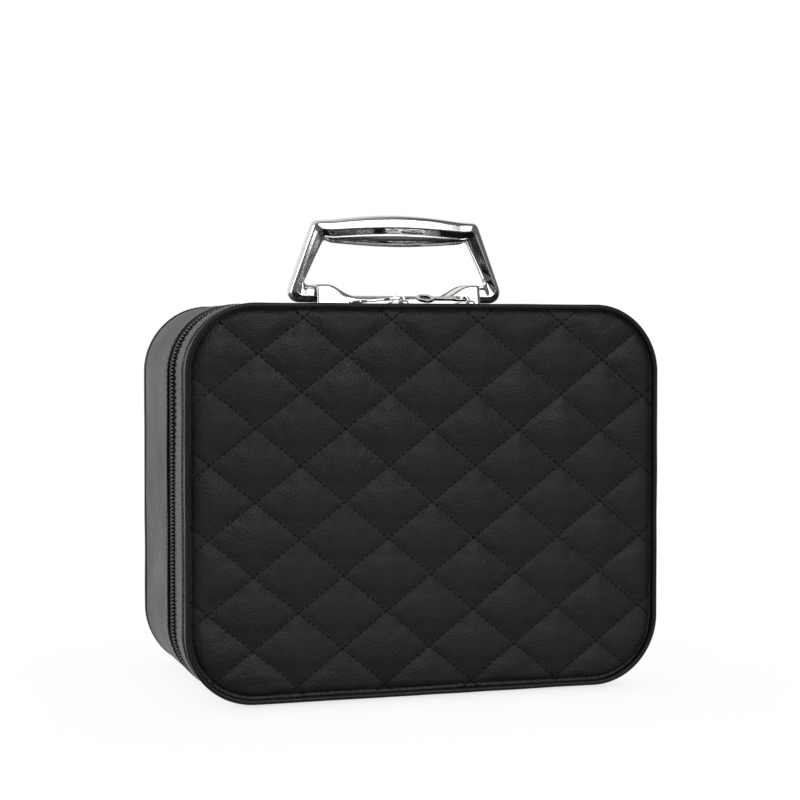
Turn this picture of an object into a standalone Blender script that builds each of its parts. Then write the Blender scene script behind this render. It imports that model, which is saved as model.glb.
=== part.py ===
"""Zip-round jewellery case with a quilted lid and a metal carrying handle.

Metres, +Z up.  The case stands on its bottom, the quilted lid faces -Y, and the origin is in
the middle of the footprint.  The body is the deep rear half of a clamshell and the lid is its
shallow front half.  They part at the zip plane and hinge on a leather strip under the case.
"""

import math

import bmesh
import bpy
from mathutils import Matrix, Vector

# ---------------------------------------------------------------- driving dimensions
WIDTH = 0.260
HEIGHT = 0.205
DEPTH = 0.122
CORNER = 0.0365               # outer corner radius, seen from the front
LID_DEPTH = 0.040             # front face to zip plane
ZIP_HALF_BAND = 0.0105        # zip plane to the leather edge on either side
GAP = 0.0003                  # between pieces that touch

LEATHER = 0.0012
TAPE = 0.0006
BOARD = 0.0020
LINING = 0.0008
PIPING_RADIUS = 0.00135
PANEL = 0.0044                # padded front panel and back panel, leather and foam

CHAIN_HALF_WIDTH = 0.0032
TAPE_REACH = 0.0150           # zip plane to the tape's hidden edge
ZIP_END_X = 0.080             # where the zip ends under the case
HINGE_HALF_LENGTH = 0.074

HANDLE_Y = 0.002
PIVOT_RISE = 0.0065           # handle pivot above the case top
PIN_RADIUS = 0.0020
PIN_CLEARANCE = 0.0003
PLATE_HALF_LENGTH = 0.0469
PLATE_HALF_DEPTH = 0.0100
PLATE_EAR_RISE = 0.0116
PLATE_WAIST_RISE = 0.0053
SCREW_X = 0.020
SCREW_RADIUS = 0.0015

LEFT_SLIDER_X = -0.0052       # middle of each slider on the zip at rest
RIGHT_SLIDER_X = 0.0330
PULL_LENGTH = 0.0280
PULL_ROLL = math.radians(22)  # the right pull leans on one edge
LEFT_PULL_DROOP = math.radians(5)

DIVIDER = 0.0030
DIVIDER_X = 0.045
DIVIDER_FRONT = 0.008
MIDDLE_SHELF_Z = 0.102
RIGHT_SHELVES_Z = (0.070, 0.135)
CUSHION_ROLLS = 7
CUSHION_BACKING = 0.016       # foam behind the rolls
CUSHION_ROLL_DEPTH = 0.010
MIRROR_SIZE = (0.150, 0.112)
MIRROR_MIDDLE = 0.104

CORNER_STEPS = 8              # facets in each quarter of the case outline
FRONT = -DEPTH / 2
BACK = DEPTH / 2
ZIP_Y = FRONT + LID_DEPTH
LID_EDGE = ZIP_Y - ZIP_HALF_BAND
BODY_EDGE = ZIP_Y + ZIP_HALF_BAND
PIVOT_Z = HEIGHT + PIVOT_RISE

# Layers of the wall, as distances in from the outer leather surface.
TAPE_INSET = LEATHER + GAP
BOARD_INSET = TAPE_INSET + TAPE + GAP
LINING_INSET = BOARD_INSET + BOARD + GAP
ROOM_INSET = LINING_INSET + LINING
PANEL_INSET = 0.0002 + 2 * PIPING_RADIUS + GAP

# Layers through the front, as distances behind the front face; the back repeats them.
PANEL_START = 0.0001
PANEL_END = PANEL_START + PANEL
FACE_BOARD_START = PANEL_END + GAP
FACE_BOARD_END = FACE_BOARD_START + 0.0022
RING_START = FACE_BOARD_END + GAP
BAND_START = 2 * PIPING_RADIUS + GAP


# ---------------------------------------------------------------- scene and materials
def clear_scene():
    for item in list(bpy.data.objects):
        bpy.data.objects.remove(item)


def make_material(name, color, roughness, metallic=0.0):
    material = bpy.data.materials.new(name)
    material.use_nodes = True
    material.diffuse_color = (*color, 1.0)
    shader = material.node_tree.nodes["Principled BSDF"]
    shader.inputs["Base Color"].default_value = (*color, 1.0)
    shader.inputs["Roughness"].default_value = roughness
    shader.inputs["Metallic"].default_value = metallic
    return material


# ---------------------------------------------------------------- shape helpers
def finish_mesh(name, mesh_builder, material, smooth_angle=35):
    """Closes a bmesh into a named object with its faces out."""
    bmesh.ops.recalc_face_normals(mesh_builder, faces=mesh_builder.faces)
    mesh = bpy.data.meshes.new(name)
    mesh_builder.to_mesh(mesh)
    mesh_builder.free()
    mesh.materials.append(material)
    mesh.shade_smooth()
    mesh.set_sharp_from_angle(angle=math.radians(smooth_angle))
    item = bpy.data.objects.new(name, mesh)
    bpy.context.scene.collection.objects.link(item)
    return item


def skin_loops(mesh_builder, loops, closed_run):
    """Quads between neighbouring loops of equal length."""
    count = len(loops[0])
    runs = len(loops) if closed_run else len(loops) - 1
    for run in range(runs):
        near = loops[run]
        far = loops[(run + 1) % len(loops)]
        for i in range(count):
            j = (i + 1) % count
            mesh_builder.faces.new((near[i], near[j], far[j], far[i]))


def skin_object(name, sections, material, closed_run=False, smooth_angle=35):
    """A solid through a run of closed sections, capped at both ends unless the run closes."""
    builder = bmesh.new()
    loops = [[builder.verts.new(point) for point in section] for section in sections]
    skin_loops(builder, loops, closed_run)
    if not closed_run:
        builder.faces.new(loops[0])
        builder.faces.new(loops[-1])
    return finish_mesh(name, builder, material, smooth_angle)


def box(name, low, high, material):
    corners = [(low[0], low[2]), (high[0], low[2]), (high[0], high[2]), (low[0], high[2])]
    return prism(name, corners, low[1], high[1], material)


def prism(name, outline, y_front, y_back, material, smooth_angle=35):
    """An outline in x and z, carried from y_front to y_back."""
    sections = [[(x, y, z) for x, z in outline] for y in (y_front, y_back)]
    return skin_object(name, sections, material, smooth_angle=smooth_angle)


def arc(center, radius, start, end, steps):
    """Points from angle start to angle end, in degrees, both ends included."""
    points = []
    for step in range(steps + 1):
        angle = math.radians(start + (end - start) * step / steps)
        points.append((center[0] + radius * math.cos(angle), center[1] + radius * math.sin(angle)))
    return points


def rounded_rectangle(middle, half_width, half_height, radius, steps):
    """Counter-clockwise outline that starts at the right end of the bottom edge."""
    x_arm = half_width - radius
    z_arm = half_height - radius
    quarters = [(x_arm, -z_arm, -90), (x_arm, z_arm, 0), (-x_arm, z_arm, 90), (-x_arm, -z_arm, 180)]
    points = []
    for x_center, z_center, start in quarters:
        center = (middle[0] + x_center, middle[1] + z_center)
        points += arc(center, radius, start, start + 90, steps)
    return points


def case_outline(inset):
    return rounded_rectangle(
        (0, HEIGHT / 2), WIDTH / 2 - inset, HEIGHT / 2 - inset, CORNER - inset, CORNER_STEPS
    )


def open_case_outline(inset, x_end):
    """The case outline from under the right corner, over the top, to under the left corner."""
    return [(x_end, inset), *case_outline(inset), (-x_end, inset)]


def hollow_ring(name, outer, inner, y_front, y_back, material):
    """A wall between two outlines of equal length."""
    builder = bmesh.new()
    loops = []
    for outline, y in ((outer, y_front), (outer, y_back), (inner, y_back), (inner, y_front)):
        loops.append([builder.verts.new((x, y, z)) for x, z in outline])
    skin_loops(builder, loops, closed_run=True)
    return finish_mesh(name, builder, material)


def case_ring(name, inset, thickness, y_front, y_back, material):
    outer = case_outline(inset)
    inner = case_outline(inset + thickness)
    return hollow_ring(name, outer, inner, y_front, y_back, material)


def case_slab(name, inset, y_front, y_back, material):
    return prism(name, case_outline(inset), y_front, y_back, material)


def case_tray(name, inset, wall, y_rim, y_floor_inside, y_floor_outside, material):
    """A lining: a thin wall with a floor at its far end from the rim."""
    builder = bmesh.new()
    loops = []
    for offset, y in (
        (inset + wall, y_floor_inside),
        (inset + wall, y_rim),
        (inset, y_rim),
        (inset, y_floor_outside),
    ):
        loops.append([builder.verts.new((x, y, z)) for x, z in case_outline(offset)])
    skin_loops(builder, loops, closed_run=False)
    builder.faces.new(loops[0])
    builder.faces.new(loops[-1])
    return finish_mesh(name, builder, material)


def zip_strip(name, inset, thickness, y_front, y_back, x_end, material):
    """A strip that follows the zip and stops under the case at x_end on each side."""
    outer = open_case_outline(inset, x_end)
    inner = open_case_outline(inset + thickness, x_end)
    sections = []
    for (x_out, z_out), (x_in, z_in) in zip(outer, inner):
        sections.append(
            [(x_out, y_front, z_out), (x_out, y_back, z_out), (x_in, y_back, z_in), (x_in, y_front, z_in)]
        )
    return skin_object(name, sections, material)


def piping(name, y_middle, material):
    """A round cord sewn along the whole outline."""
    inset = 0.0002 + PIPING_RADIUS
    sections = []
    rim = case_outline(inset)
    outside = case_outline(inset - PIPING_RADIUS)
    for (x, z), (x_out, z_out) in zip(rim, outside):
        outward = Vector((x_out - x, 0, z_out - z)).normalized()
        section = []
        for side in range(8):
            angle = 2 * math.pi * (side + 0.5) / 8
            reach = outward * PIPING_RADIUS * math.cos(angle)
            depth = PIPING_RADIUS * math.sin(angle)
            section.append((x + reach.x, y_middle + depth, z + reach.z))
        sections.append(section)
    return skin_object(name, sections, material, closed_run=True, smooth_angle=60)


def turned(name, profile, base, axis, material, steps=16):
    """A solid of revolution: profile holds (distance along the axis, radius), both ends closed."""
    turn = Vector((0, 0, 1)).rotation_difference(Vector(axis)).to_matrix().to_4x4()
    place = Matrix.Translation(base) @ turn
    sections = []
    for along, radius in profile:
        ring = arc((0, 0), radius, 0, 360 - 360 / steps, steps - 1)
        sections.append([place @ Vector((x, y, along)) for x, y in ring])
    return skin_object(name, sections, material)


def drill(item, base, axis, length, radius, steps=16):
    """Cuts a round hole that starts at base and runs along axis."""
    cutter = turned(item.name + "_cutter", [(0, radius), (length, radius)], base, axis,
                    item.data.materials[0], steps)
    cutter.hide_render = True
    cutter.display_type = "WIRE"
    cut = item.modifiers.new("hole", "BOOLEAN")
    cut.operation = "DIFFERENCE"
    cut.solver = "EXACT"
    cut.object = cutter


def soften(item, width, segments=2, angle=40):
    bevel = item.modifiers.new("softened edges", "BEVEL")
    bevel.width = width
    bevel.segments = segments
    bevel.limit_method = "ANGLE"
    bevel.angle_limit = math.radians(angle)


def make_empty(name, location):
    empty = bpy.data.objects.new(name, None)
    empty.empty_display_size = 0.01
    empty.location = location
    bpy.context.scene.collection.objects.link(empty)
    return empty


def hang_on(empty, items):
    """Gives each piece its origin on the joint and parents it there."""
    bpy.context.view_layer.update()
    for item in items:
        item.data.transform(Matrix.Translation(-empty.matrix_world.translation))
        item.parent = empty


# ---------------------------------------------------------------- the two halves of the shell
def screw_places():
    return [(-SCREW_X, HANDLE_Y), (SCREW_X, HANDLE_Y)]


def drill_for_screws(item):
    """Clears the two handle screws through a layer of the top wall."""
    for x, y in screw_places():
        drill(item, (x, y, HEIGHT - 0.012), (0, 0, 1), 0.0162, SCREW_RADIUS + GAP)


def build_body_shell(paint):
    band = case_ring("body_band", 0, LEATHER, BODY_EDGE, BACK - BAND_START, paint["leather"])
    board = case_ring("body_board", BOARD_INSET, BOARD, BODY_EDGE, BACK - RING_START, paint["board"])
    lining = case_tray(
        "body_lining", LINING_INSET, LINING, BODY_EDGE - 0.0005,
        BACK - RING_START - LINING, BACK - RING_START, paint["velvet"],
    )
    for layer in (band, board, lining):
        drill_for_screws(layer)
    case_slab("back_board", TAPE_INSET, BACK - FACE_BOARD_END, BACK - FACE_BOARD_START, paint["board"])
    case_slab("back_panel", PANEL_INSET, BACK - PANEL_END, BACK - PANEL_START, paint["leather"])
    piping("back_piping", BACK - PIPING_RADIUS, paint["leather"])


def build_lid_shell(paint):
    band = case_ring("lid_band", 0, LEATHER, FRONT + BAND_START, LID_EDGE, paint["leather"])
    board = case_ring("lid_board", BOARD_INSET, BOARD, FRONT + RING_START, LID_EDGE, paint["board"])
    lining = case_tray(
        "lid_lining", LINING_INSET, LINING, LID_EDGE + 0.0005,
        FRONT + RING_START + LINING, FRONT + RING_START, paint["velvet"],
    )
    front_board = case_slab(
        "front_board", TAPE_INSET, FRONT + FACE_BOARD_START, FRONT + FACE_BOARD_END, paint["board"]
    )
    panel = case_slab(
        "quilted_panel", PANEL_INSET, FRONT + PANEL_START, FRONT + PANEL_END, paint["leather"]
    )
    cord = piping("front_piping", FRONT + PIPING_RADIUS, paint["leather"])
    return [band, board, lining, front_board, panel, cord]


# ---------------------------------------------------------------- zip and hinge
def build_zip_side(side, direction, paint):
    """One half of the zip: direction is +1 towards the body and -1 towards the lid."""
    def span(near, far):
        return sorted((ZIP_Y + direction * near, ZIP_Y + direction * far))

    tape = zip_strip(
        side + "_zip_tape", TAPE_INSET, TAPE, *span(GAP, TAPE_REACH), ZIP_END_X + 0.003, paint["tape"]
    )
    chain = zip_strip(
        side + "_zip_chain", 0.0001, LEATHER - 0.0001, *span(GAP / 2, CHAIN_HALF_WIDTH),
        ZIP_END_X, paint["chain"],
    )
    y_near, y_far = span(GAP, ZIP_HALF_BAND - GAP)
    leaf = box(
        side + "_hinge_leaf", (-HINGE_HALF_LENGTH, y_near, 0.0002),
        (HINGE_HALF_LENGTH, y_far, LEATHER), paint["leather"],
    )
    return [tape, chain, leaf]


def build_zip_end_stops(paint):
    """A folded leather tab over each end of the zip, on the body's side."""
    for side, sign in (("left", -1), ("right", 1)):
        x_near, x_far = sorted((sign * (HINGE_HALF_LENGTH + GAP), sign * (ZIP_END_X - GAP)))
        box(
            "zip_end_tab_" + side, (x_near, ZIP_Y + GAP, 0.0002),
            (x_far, BODY_EDGE - GAP, LEATHER), paint["leather"],
        )


# ---------------------------------------------------------------- handle
def blend_sections(start, end, share):
    return [tuple(a + (b - a) * share for a, b in zip(p, q)) for p, q in zip(start, end)]


# Half sections of the handle, from its outer edge inwards: (distance in, half depth).
LEG_SECTION = [
    (0.0000, 0.0030), (0.0014, 0.0052), (0.0042, 0.0055), (0.0078, 0.0026),
    (0.0082, 0.0025), (0.0089, 0.0018), (0.0094, 0.0009),
]
GRIP_END_SECTION = [
    (0.0000, 0.0032), (0.0018, 0.0056), (0.0056, 0.0062), (0.0094, 0.0036),
    (0.0099, 0.0040), (0.0113, 0.0029), (0.0120, 0.0012),
]
GRIP_SECTION = [
    (0.0000, 0.0035), (0.0022, 0.0064), (0.0070, 0.0072), (0.0106, 0.0046),
    (0.0113, 0.0053), (0.0150, 0.0044), (0.0174, 0.0014),
]
FOOT_SECTION = [
    (0.0000, 0.0022), (0.0014, 0.0042), (0.0034, 0.0050), (0.0060, 0.0050),
    (0.0074, 0.0045), (0.0088, 0.0032), (0.0096, 0.0014),
]
FOOT_BOTTOM = 0.0017          # foot above the case top
FOOT_OUTER_X = 0.0612
FOOT_CORNER = 0.0060          # outer radius of the foot's corner
FOOT_FILLET = (0.0502, 0.0132)    # centre of the small radius inside that corner
TOP_CORNER = 0.0038           # outer radius where the leg meets the grip
TOP_CORNER_CENTER = (0.0447, 0.0430)
TOP_FILLET = (0.0402, 0.0340)
FILLET = 0.0018
GRIP_MIDDLE_RISE = 0.0501


def corner_stations(center, radius, fillet_center, start, end, sections, steps):
    """Sections that fan out from a small inside radius to the outer corner."""
    stations = []
    edge = arc(center, radius, start, end, steps)
    inside = arc(fillet_center, FILLET, start, end, steps)
    for step in range(steps + 1):
        across = Vector(inside[step]) - Vector(edge[step])
        section = blend_sections(*sections, step / steps)
        reach = across.length / section[-1][0]
        section = [(distance * reach, depth) for distance, depth in section]
        stations.append((edge[step], across.normalized(), section))
    return stations


def handle_stations():
    """Right half of the handle as (outer edge point, direction inwards, half section)."""
    foot_center = (FOOT_OUTER_X - FOOT_CORNER, FOOT_BOTTOM + FOOT_CORNER)
    top_x, top_z = TOP_CORNER_CENTER
    run = foot_center[0] + FOOT_CORNER - top_x - TOP_CORNER
    lean = math.degrees(math.atan2(run, top_z - foot_center[1]))
    stations = [((PLATE_HALF_LENGTH + GAP, FOOT_BOTTOM), (0, 1), FOOT_SECTION)]
    stations += corner_stations(foot_center, FOOT_CORNER, FOOT_FILLET, -90, lean,
                                (FOOT_SECTION, LEG_SECTION), 4)
    stations += corner_stations(TOP_CORNER_CENTER, TOP_CORNER, TOP_FILLET, lean, 90,
                                (LEG_SECTION, GRIP_END_SECTION), 3)
    grip_steps = 5
    end_rise = top_z + TOP_CORNER
    for step in range(1, grip_steps + 1):
        share = step / grip_steps
        swell = math.sin(share * math.pi / 2)
        rise = end_rise + (GRIP_MIDDLE_RISE - end_rise) * swell
        section = blend_sections(GRIP_END_SECTION, GRIP_SECTION, swell)
        stations.append(((TOP_FILLET[0] * (1 - share), rise), (0, -1), section))
    return stations


def handle_section_points(edge, inwards, half_section, mirror):
    points = []
    both_sides = [(u, -v) for u, v in half_section] + [(u, v) for u, v in reversed(half_section)]
    for distance, depth in both_sides:
        x = (edge[0] + inwards[0] * distance) * mirror
        z = HEIGHT + edge[1] + inwards[1] * distance
        points.append((x, HANDLE_Y + depth, z))
    return points


def build_handle(paint):
    stations = handle_stations()
    right = [handle_section_points(*station, 1) for station in stations]
    left = [handle_section_points(*station, -1) for station in stations[:-1]]
    handle = skin_object("handle", right + left[::-1], paint["chrome"], smooth_angle=30)
    for sign in (-1, 1):
        base = (sign * (PLATE_HALF_LENGTH - GAP), HANDLE_Y, PIVOT_Z)
        drill(handle, base, (sign, 0, 0), 0.0092, PIN_RADIUS + PIN_CLEARANCE)
    return handle


def plate_outline():
    """The handle's base seen from the front: a low waist that sweeps up to an ear at each end."""
    waist_x = 0.0254
    ear_x = 0.0415
    bottom = HEIGHT + GAP
    half = [(PLATE_HALF_LENGTH, bottom), (PLATE_HALF_LENGTH, HEIGHT + PLATE_EAR_RISE - 0.0012)]
    half.append((PLATE_HALF_LENGTH - 0.0010, HEIGHT + PLATE_EAR_RISE))
    sweep_steps = 8
    for step in range(sweep_steps + 1):
        share = step / sweep_steps
        fall = (1 - math.cos(share * math.pi)) / 2
        rise = PLATE_EAR_RISE - (PLATE_EAR_RISE - PLATE_WAIST_RISE) * fall
        half.append((ear_x + (waist_x - ear_x) * share, HEIGHT + rise))
    return half + [(-x, z) for x, z in reversed(half)]


def build_handle_base(paint):
    plate = prism(
        "handle_base_plate", plate_outline(), HANDLE_Y - PLATE_HALF_DEPTH,
        HANDLE_Y + PLATE_HALF_DEPTH, paint["chrome"],
    )
    soften(plate, 0.0008)
    for x, y in screw_places():
        drill(plate, (x, y, HEIGHT - 0.001), (0, 0, 1), 0.0050, SCREW_RADIUS + GAP)
    for side, sign in (("left", -1), ("right", 1)):
        drill(plate, (sign * (PLATE_HALF_LENGTH + 0.001), HANDLE_Y, PIVOT_Z), (-sign, 0, 0),
              0.0092, PIN_RADIUS + PIN_CLEARANCE)
        start = sign * (PLATE_HALF_LENGTH - 0.0078)
        turned("handle_pin_" + side, [(0, PIN_RADIUS), (0.0160, PIN_RADIUS)],
               (start, HANDLE_Y, PIVOT_Z), (sign, 0, 0), paint["steel"])


def build_handle_fixings(paint):
    """A steel strip inside the case and two screws that pull the base plate down on it."""
    strip_top = HEIGHT - ROOM_INSET - GAP
    strip_bottom = strip_top - 0.0012
    strip = box("handle_backing_strip", (-0.040, HANDLE_Y - 0.008, strip_bottom),
                (0.040, HANDLE_Y + 0.008, strip_top), paint["steel"])
    soften(strip, 0.0003, segments=1)
    drill_for_screws(strip)
    head_top = strip_bottom - GAP
    tip = HEIGHT + 0.0037
    for (x, y), side in zip(screw_places(), ("left", "right")):
        profile = [(0, 0.0020), (0.0005, 0.0028), (0.0016, 0.0028), (0.0016, SCREW_RADIUS)]
        profile.append((tip - head_top + 0.0016, SCREW_RADIUS))
        turned("handle_screw_" + side, profile, (x, y, head_top - 0.0016), (0, 0, 1), paint["steel"])


# ---------------------------------------------------------------- zip sliders
SADDLE_HALF_LENGTH = 0.0056
SADDLE_HALF_WIDTH = 0.0042
SADDLE_RISE = 0.0017          # rises are heights above the case top
BRIDGE_HALF_LENGTH = 0.0036
BRIDGE_HALF_WIDTH = 0.0011
BRIDGE_RISE = 0.0062
BRIDGE_WALL = 0.0008
EYE_RISE = 0.0038             # the pull's cross bar, and its pivot
EYE_BAR = 0.0007              # cross bar's half length along the zip
EYE_REACH = 0.0050            # pivot to the solid part of the pull
EYE_HALF_WIDTH = 0.0019
PULL_HALF_WIDTH = 0.0027
PULL_NECK = 0.0016
PULL_HALF_THICKNESS = 0.0008
LOOP_HALF_WIDTH = 0.0050
LOOP_HOLE = 0.0031


def build_slider(side, x_middle, paint):
    """The saddle over the zip with the bridge that holds the pull."""
    chamfer = 0.0012
    half = [(SADDLE_HALF_LENGTH, GAP), (SADDLE_HALF_LENGTH, SADDLE_RISE - 0.0004)]
    half += [(SADDLE_HALF_LENGTH - 0.0006, SADDLE_RISE), (BRIDGE_HALF_LENGTH, SADDLE_RISE)]
    half += [(BRIDGE_HALF_LENGTH, BRIDGE_RISE - chamfer), (BRIDGE_HALF_LENGTH - chamfer, BRIDGE_RISE)]
    outline = [(x_middle + x, HEIGHT + rise) for x, rise in half]
    outline += [(x_middle - x, HEIGHT + rise) for x, rise in reversed(half)]
    slider = prism(side + "_slider", outline, ZIP_Y - SADDLE_HALF_WIDTH, ZIP_Y + SADDLE_HALF_WIDTH,
                   paint["chrome"])
    reach = SADDLE_HALF_LENGTH + 0.001
    low, high = HEIGHT + SADDLE_RISE, HEIGHT + BRIDGE_RISE + 0.001
    for sign in (-1, 1):
        y_near, y_far = sorted((sign * BRIDGE_HALF_WIDTH, sign * (SADDLE_HALF_WIDTH + 0.001)))
        cut_box(slider, (x_middle - reach, ZIP_Y + y_near, low), (x_middle + reach, ZIP_Y + y_far, high))
    window = BRIDGE_HALF_LENGTH - BRIDGE_WALL
    cut_box(slider, (x_middle - window, ZIP_Y - 0.006, low),
            (x_middle + window, ZIP_Y + 0.006, HEIGHT + BRIDGE_RISE - BRIDGE_WALL))
    return slider


def cut_box(item, low, high):
    cutter = box(item.name + "_box_cutter", low, high, item.data.materials[0])
    cutter.hide_render = True
    cutter.display_type = "WIRE"
    cut = item.modifiers.new("window", "BOOLEAN")
    cut.operation = "DIFFERENCE"
    cut.solver = "EXACT"
    cut.object = cutter


def pull_outline():
    """The pull seen from above, along -X from its cross bar: eye, neck and round end loop."""
    shoulder = math.degrees(math.asin(PULL_NECK / LOOP_HALF_WIDTH))
    upper = [(EYE_BAR, PULL_HALF_WIDTH), (-EYE_REACH - 0.0012, PULL_HALF_WIDTH)]
    upper.append((-EYE_REACH - 0.0030, PULL_NECK))
    loop = arc((LOOP_HALF_WIDTH - PULL_LENGTH, 0), LOOP_HALF_WIDTH, shoulder, 360 - shoulder, 16)
    lower = [(x, -y) for x, y in reversed(upper)]
    return upper + loop + lower


def build_pull(side, pivot_x, roll, droop, paint):
    """A flat pull with a rectangular eye round the bridge and a padlock loop at its end."""
    thickness = PULL_HALF_THICKNESS
    sections = [[(x, y, z) for x, y in pull_outline()] for z in (-thickness, thickness)]
    pull = skin_object(side + "_pull", sections, paint["chrome"])
    eye = box(pull.name + "_eye_cutter", (-EYE_REACH, -EYE_HALF_WIDTH, -0.004),
              (-EYE_BAR, EYE_HALF_WIDTH, 0.004), paint["chrome"])
    hole = turned(pull.name + "_loop_cutter", [(0, LOOP_HOLE), (0.008, LOOP_HOLE)],
                  (LOOP_HALF_WIDTH - PULL_LENGTH, 0, -0.004), (0, 0, 1), paint["chrome"])
    lean = Matrix.Rotation(-droop, 4, "Y") @ Matrix.Rotation(roll, 4, "X")
    place = Matrix.Translation((pivot_x, ZIP_Y, HEIGHT + EYE_RISE)) @ lean
    for item in (pull, eye, hole):
        item.data.transform(place)
    for cutter in (eye, hole):
        cutter.hide_render = True
        cutter.display_type = "WIRE"
        cut = pull.modifiers.new("opening", "BOOLEAN")
        cut.operation = "DIFFERENCE"
        cut.solver = "EXACT"
        cut.object = cutter
    return pull


# ---------------------------------------------------------------- inside
def build_dividers(paint):
    """Two upright dividers and four shelves, padded boards that press against the lining."""
    room_bottom = ROOM_INSET + GAP
    room_top = HEIGHT - ROOM_INSET - GAP
    room_back = BACK - RING_START - LINING - GAP
    room_side = WIDTH / 2 - ROOM_INSET - GAP
    half = DIVIDER / 2
    for side, sign in (("left", -1), ("right", 1)):
        x = sign * DIVIDER_X
        box("divider_" + side, (x - half, DIVIDER_FRONT, room_bottom),
            (x + half, room_back, room_top), paint["velvet_board"])
    inner = DIVIDER_X - half - GAP
    outer = DIVIDER_X + half + GAP
    shelves = {
        "shelf_left": (-room_side, -outer, MIDDLE_SHELF_Z),
        "shelf_middle": (-inner, inner, MIDDLE_SHELF_Z),
        "shelf_right_lower": (outer, room_side, RIGHT_SHELVES_Z[0]),
        "shelf_right_upper": (outer, room_side, RIGHT_SHELVES_Z[1]),
    }
    for name, (x_low, x_high, z) in shelves.items():
        box(name, (x_low, DIVIDER_FRONT, z - half), (x_high, room_back, z + half),
            paint["velvet_board"])


def build_ring_cushion(paint):
    """Padded rolls side by side on one backing; rings sit in the slots between them."""
    x_end = DIVIDER_X - DIVIDER / 2 - GAP
    bottom = ROOM_INSET + GAP
    top = MIDDLE_SHELF_Z - DIVIDER / 2 - GAP
    back = BACK - RING_START - LINING - GAP
    roll_foot = back - CUSHION_BACKING
    pitch = (top - bottom) / CUSHION_ROLLS
    profile = [(back, bottom), (back, top)]
    for roll in range(CUSHION_ROLLS):
        middle = top - pitch * (roll + 0.5)
        for step in range(9):
            angle = math.radians(80 - 20 * step)
            profile.append((roll_foot - CUSHION_ROLL_DEPTH * math.cos(angle),
                            middle + pitch / 2 * math.sin(angle)))
    sections = [[(x, y, z) for y, z in profile] for x in (-x_end, x_end)]
    skin_object("ring_cushion", sections, paint["velvet_board"])


def build_mirror(paint):
    """A framed mirror glued inside the lid."""
    back_of_frame = FRONT + RING_START + LINING + GAP
    half_width, half_height = MIRROR_SIZE[0] / 2, MIRROR_SIZE[1] / 2
    middle = (0, MIRROR_MIDDLE)
    outer = rounded_rectangle(middle, half_width + 0.007, half_height + 0.007, 0.016, 5)
    inner = rounded_rectangle(middle, half_width, half_height, 0.009, 5)
    glass = rounded_rectangle(middle, half_width - GAP, half_height - GAP, 0.009 - GAP, 5)
    frame = hollow_ring("mirror_frame", outer, inner, back_of_frame, back_of_frame + 0.003, paint["frame"])
    mirror = prism("mirror", glass, back_of_frame, back_of_frame + 0.002, paint["mirror"])
    return [frame, mirror]


# ---------------------------------------------------------------- assembly
def build_case():
    clear_scene()
    paint = {
        "leather": make_material("black_leather", (0.022, 0.021, 0.022), 0.5),
        "board": make_material("fibre_board", (0.30, 0.22, 0.15), 0.8),
        "velvet": make_material("velvet_lining", (0.05, 0.05, 0.052), 0.95),
        "velvet_board": make_material("velvet_insert", (0.07, 0.07, 0.072), 0.95),
        "tape": make_material("zip_tape", (0.012, 0.012, 0.012), 0.9),
        "chain": make_material("zip_coil", (0.02, 0.02, 0.02), 0.35),
        "chrome": make_material("chrome", (0.85, 0.85, 0.86), 0.08, 1.0),
        "steel": make_material("plated_steel", (0.60, 0.60, 0.62), 0.3, 1.0),
        "mirror": make_material("mirror_glass", (0.9, 0.9, 0.9), 0.02, 1.0),
        "frame": make_material("mirror_frame", (0.03, 0.03, 0.03), 0.3),
    }
    build_body_shell(paint)
    build_zip_side("body", 1, paint)
    build_zip_end_stops(paint)
    build_handle_base(paint)
    build_handle_fixings(paint)
    build_dividers(paint)
    build_ring_cushion(paint)

    lid_hinge = make_empty("lid_hinge", (0, ZIP_Y, 0))
    hang_on(lid_hinge, build_lid_shell(paint) + build_zip_side("lid", -1, paint) + build_mirror(paint))

    handle_pivot = make_empty("handle_pivot", (0, HANDLE_Y, PIVOT_Z))
    hang_on(handle_pivot, [build_handle(paint)])

    sliders = (("left", LEFT_SLIDER_X, 0, LEFT_PULL_DROOP), ("right", RIGHT_SLIDER_X, PULL_ROLL, 0))
    for side, x, roll, droop in sliders:
        carriage = make_empty(side + "_slider_carriage", (x, ZIP_Y, HEIGHT))
        hang_on(carriage, [build_slider(side, x, paint)])
        pull_pivot = make_empty(side + "_pull_pivot", (x, ZIP_Y, HEIGHT + EYE_RISE))
        hang_on(pull_pivot, [build_pull(side, x, roll, droop, paint)])


build_case()
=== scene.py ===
"""Looks of a zip-round jewellery case: quilted leather, zip, chrome handle, velvet, light, camera."""

import math

import bmesh
import bpy
import numpy as np
from mathutils import Matrix, Vector, noise


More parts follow.
